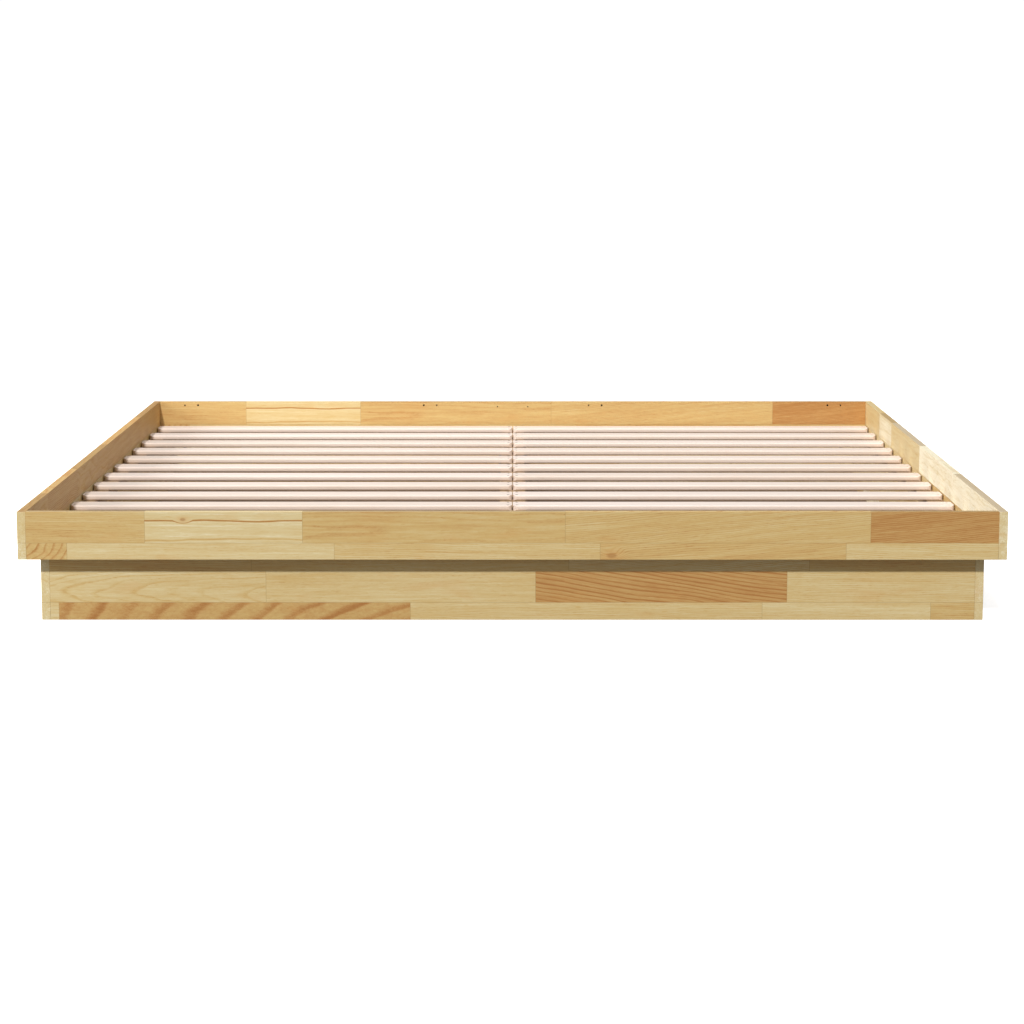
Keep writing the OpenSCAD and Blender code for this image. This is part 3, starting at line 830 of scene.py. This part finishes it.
def screw_places(node):
    """Where each screw of a group has the top of its head, and which way it points."""
    bm = bmesh.new()
    bm.from_mesh(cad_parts[node].data)
    bmesh.ops.remove_doubles(bm, verts=bm.verts, dist=WELD)
    seen, places = set(), []
    for first in bm.verts:
        if first in seen:
            continue
        seen.add(first)
        edge_of_search, island = [first], []
        while edge_of_search:
            vert = edge_of_search.pop()
            island.append(vert.co.copy())
            for edge in vert.link_edges:
                other = edge.other_vert(vert)
                if other not in seen:
                    seen.add(other)
                    edge_of_search.append(other)
        low = Vector([min(co[axis] for co in island) for axis in range(3)])
        high = Vector([max(co[axis] for co in island) for axis in range(3)])
        axis = max(range(3), key=lambda a: (high - low)[a])
        centre = (low + high) / 2

        def width_near(end):
            near = [co for co in island if abs(co[axis] - end[axis]) < TOUCH]
            return max((co - centre).length for co in near)
        head, tip = (high, low) if width_near(high) > width_near(low) else (low, high)
        top, point = centre.copy(), centre.copy()
        top[axis], point[axis] = head[axis], tip[axis]
        places.append((top, point - top))
    bm.free()
    return places


def drive_screws(name, node, head, shank_r, seed):
    """One piece that holds every screw of a group."""
    draw = random.Random(seed)
    places = screw_places(node)
    pattern = model_screw(head, shank_r, places[0][1].length)
    bm = bmesh.new()
    for top, drive in places:
        first = len(bm.verts)
        bm.from_mesh(pattern)
        bm.verts.ensure_lookup_table()
        turn = (-drive).to_track_quat("Z", "Y").to_matrix().to_4x4()
        spin = Matrix.Rotation(draw.uniform(0, pi / 2), 4, "Z")
        bmesh.ops.transform(bm, matrix=Matrix.Translation(top) @ turn @ spin, verts=bm.verts[first:])
    mesh = bpy.data.meshes.new(name)
    bm.to_mesh(mesh)
    bm.free()
    piece = bpy.data.objects.new(name, mesh)
    scene.collection.objects.link(piece)
    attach(piece, "root")
    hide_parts(node)
    print(name, "holds", len(places), "screws")
    return piece


def sunk_head(head_r, shank_r):
    return [(head_r * 0.97, 0), (head_r, -0.05 * MM), (shank_r, shank_r - head_r)]


def pan_head(head_r, height):
    return [(head_r * 0.6, 0), (head_r * 0.86, -0.25 * height), (head_r, -0.7 * height), (head_r, -height)]


# The radius of a slat screw's head and shank, and those of the thicker screws
SLAT_HEAD_R, SLAT_SHANK_R = 3.5 * MM, 1.75 * MM
WOOD_HEAD_R, WOOD_SHANK_R = 4 * MM, 2 * MM
PAN_HEIGHT = 2 * MM
slat_head = sunk_head(SLAT_HEAD_R, SLAT_SHANK_R)
wood_head = sunk_head(WOOD_HEAD_R, WOOD_SHANK_R)
bracket_head = [*pan_head(WOOD_HEAD_R, PAN_HEIGHT), (WOOD_SHANK_R, -PAN_HEIGHT)]

screw_pieces = []
for seed, side in enumerate(("left_outer", "left_inner", "right_inner", "right_outer")):
    screw_pieces.append(drive_screws(
        side + "_crosshead_screws", side + "_slat_screws", slat_head, SLAT_SHANK_R, seed,
    ))
for seed, kind, head in ((10, "ledger", wood_head), (11, "plinth", wood_head), (20, "bracket", bracket_head)):
    screw_pieces.append(drive_screws(kind + "_crosshead_screws", kind + "_screws", head, WOOD_SHANK_R, seed))

# %% [markdown]
# ## Steel and beech
# The bolts, barrel nuts and brackets are zinc plated: a grey metal with a faint mottle, duller in
# patches. The ledger, plinth and bracket screws have a dark phosphate coat, which is a thin rough
# crust and not bare metal, so its finish isn't metallic and hardly shines. The slat screws are all
# one kind, but those at the outer ends get the bright zinc as painted glint, so they show as bright
# dots, and those at the inner ends get the dark finish as painted shade, so they show as dark ticks
# on the lit slats. The dowels are beech, pale pink brown with fine dark flecks.

# %% Mix the metal and dowel finishes
def mix_metal(name, colour, dull, roughness, metallic=1.0, specular=0.5):
    material, tree, shader = new_finish(name)
    here = place(tree)
    mottle = cloud(tree, here, (260, 260, 260), 3.0, 0.6)
    brushed = cloud(tree, here, (1800, 1800, 300), 2.0)
    plug(tree, shader.inputs["Base Color"], blend(tree, ease(tree, mottle, 0.35, 0.7), colour, dull))
    rough = calc(tree, "MULTIPLY_ADD", mottle, 0.22, roughness)
    plug(tree, shader.inputs["Roughness"], rough)
    plug(tree, shader.inputs["Normal"], bumps(tree, brushed, 0.00002, 0.4))
    shader.inputs["Metallic"].default_value = metallic
    shader.inputs["Specular IOR Level"].default_value = specular
    return material


BEECH = tint(222, 184, 140)
BEECH_SHADE = tint(198, 152, 106)
BEECH_FLECK = tint(150, 100, 64)


def mix_beech():
    material, tree, shader = new_finish("beech_dowel")
    here = place(tree)
    flecks = ease(tree, cloud(tree, here, (160, 1400, 1400), 1.0), 0.58, 0.7)
    fibres = cloud(tree, here, (30, 600, 600), 2.0)
    colour = blend(tree, fibres, BEECH, BEECH_SHADE)
    colour = blend(tree, calc(tree, "MULTIPLY", flecks, 0.5), colour, BEECH_FLECK)
    plug(tree, shader.inputs["Base Color"], colour)
    plug(tree, shader.inputs["Roughness"], calc(tree, "MULTIPLY_ADD", fibres, 0.2, 0.5))
    plug(tree, shader.inputs["Normal"], bumps(tree, fibres, 0.0001, 0.5))
    return material


zinc_and_painted_glint = mix_metal("zinc_and_painted_glint", tint(196, 196, 194), tint(164, 165, 165), 0.24)
dull_zinc = mix_metal("dull_zinc", tint(176, 176, 172), tint(140, 140, 138), 0.34)
nut_zinc = mix_metal("nut_zinc", tint(190, 186, 176), tint(150, 146, 138), 0.3)
# Dark, not metallic: phosphate on the ledger, plinth and bracket screws, painted shade on the inner slat
# screws
phosphate_and_painted_shade = mix_metal("phosphated_screws_and_painted_shade", tint(56, 50, 44), tint(32, 28, 24), 0.6, 0.0, 0.15)
beech = mix_beech()
for node in ("frame_bolts", "plinth_bolts"):
    refinish(node, zinc_and_painted_glint)
for node in ("frame_barrel_nuts", "plinth_barrel_nuts"):
    refinish(node, nut_zinc)
refinish("centre_brackets", dull_zinc)
# Painted glint and painted shade: the outer slat screws take the bright zinc and the inner ones the dark
# finish, though they are the same screws
for piece in screw_pieces:
    piece.data.materials.append(zinc_and_painted_glint if "outer" in piece.name else phosphate_and_painted_shade)
for node in ("frame_dowels", "plinth_dowels"):
    refinish(node, beech)

# %% [markdown]
# ## Floor
# The bed stands on a plain pale floor that runs far out behind it, so no edge shows. The floor
# glows a little, like a light table, and throws only part of its light back up. A brown sheet of
# painted shade lies on it inside the plinth, so that the gaps between the slats read dark.

# %% Lay the floor
FLOOR_HALF = 30.0
FLOOR_GLOW = 0.7
FLOOR_LENT = 0.3
FLOOR_WHITE = (0.9, 0.9, 0.9, 1)
PAINTED_SHADE_BROWN = tint(150, 128, 108)
SHADE_SHEET_HEIGHT = 0.5 * MM


def lay_flat(name, low, high, height, finish):
    """A level rectangle on or over the ground, between two corners."""
    mesh = bpy.data.meshes.new(name)
    corners = [(low[0], low[1]), (high[0], low[1]), (high[0], high[1]), (low[0], high[1])]
    mesh.from_pydata([(x, y, height) for x, y in corners], [], [(0, 1, 2, 3)])
    mesh.materials.append(finish)
    sheet = bpy.data.objects.new(name, mesh)
    scene.collection.objects.link(sheet)
    return sheet


floor_finish, floor_tree, floor_shader = new_finish("pale_floor")
floor_shader.inputs["Base Color"].default_value = FLOOR_WHITE
floor_shader.inputs["Roughness"].default_value = 0.9
floor_shader.inputs["Emission Color"].default_value = (1, 1, 1, 1)
floor_shader.inputs["Emission Strength"].default_value = FLOOR_GLOW
floor_bounce = floor_tree.nodes.new("ShaderNodeBsdfDiffuse")
floor_bounce.inputs["Color"].default_value = (FLOOR_LENT, FLOOR_LENT, FLOOR_LENT, 1)
seen_or_lent(floor_tree, floor_shader, floor_bounce, floor_tree.nodes["Material Output"])
floor = lay_flat("floor", (-FLOOR_HALF, -FLOOR_HALF), (FLOOR_HALF, FLOOR_HALF), 0, floor_finish)

# Painted shade: a brown sheet inside the plinth stands for the shade under the bed
shade_sheet_finish, _, shade_sheet_shader = new_finish("under_bed_painted_shade")
shade_sheet_shader.inputs["Base Color"].default_value = PAINTED_SHADE_BROWN
shade_sheet_shader.inputs["Roughness"].default_value = 0.95
inner_low = (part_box("plinth_left")[1].x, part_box("plinth_front")[1].y)
inner_high = (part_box("plinth_right")[0].x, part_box("plinth_back")[0].y)
shade_sheet = lay_flat("under_bed_painted_shade", inner_low, inner_high, SHADE_SHEET_HEIGHT, shade_sheet_finish)
